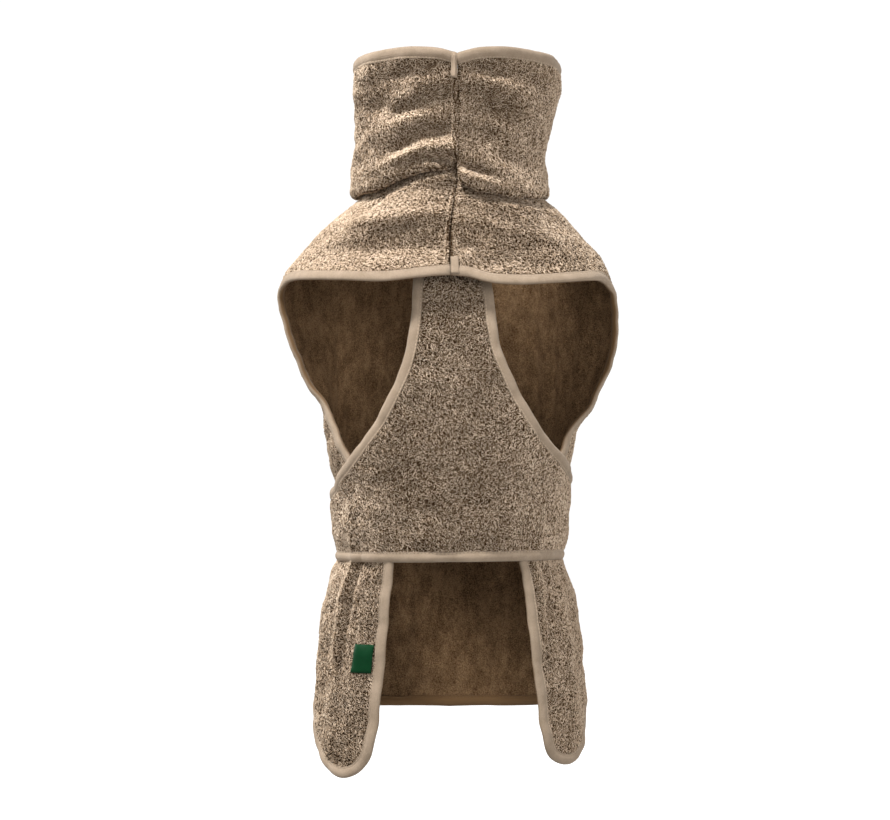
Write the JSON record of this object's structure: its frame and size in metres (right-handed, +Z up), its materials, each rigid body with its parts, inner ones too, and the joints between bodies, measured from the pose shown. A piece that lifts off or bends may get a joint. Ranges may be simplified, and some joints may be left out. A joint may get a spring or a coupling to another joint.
{
  "type": "dog bathrobe",
  "caption": "Towelling dog bathrobe, worn form: tall tube collar, front yoke, back panel running down into thigh flaps, chest strap and belly band that laps on the back.",
  "frame": {"origin": "centre of the neck ring, at the height of the collar's foot", "axes": "+Z up through the collar as the robe is shown upright, +Y towards the back of the robe, -Y the chest side, +X the viewer's right when looking at the chest, which is the wearer's left; left and right in node names are the viewer's"},
  "size_m": [0.3391, 0.247, 0.7101],
  "materials": {
    "terry": "looped pile",
    "binding": "smooth tape",
    "label_cloth": "close weave"
  },
  "bodies": {
    "root": {"cape": "terry", "chest_panel": "terry", "collar_left": "terry", "collar_right": "terry", "cape_binding": "binding", "chest_binding": "binding", "collar_binding_left": "binding", "collar_binding_right": "binding", "hem_tab": "binding", "label": "label_cloth"}
  },
  "joints": []
}
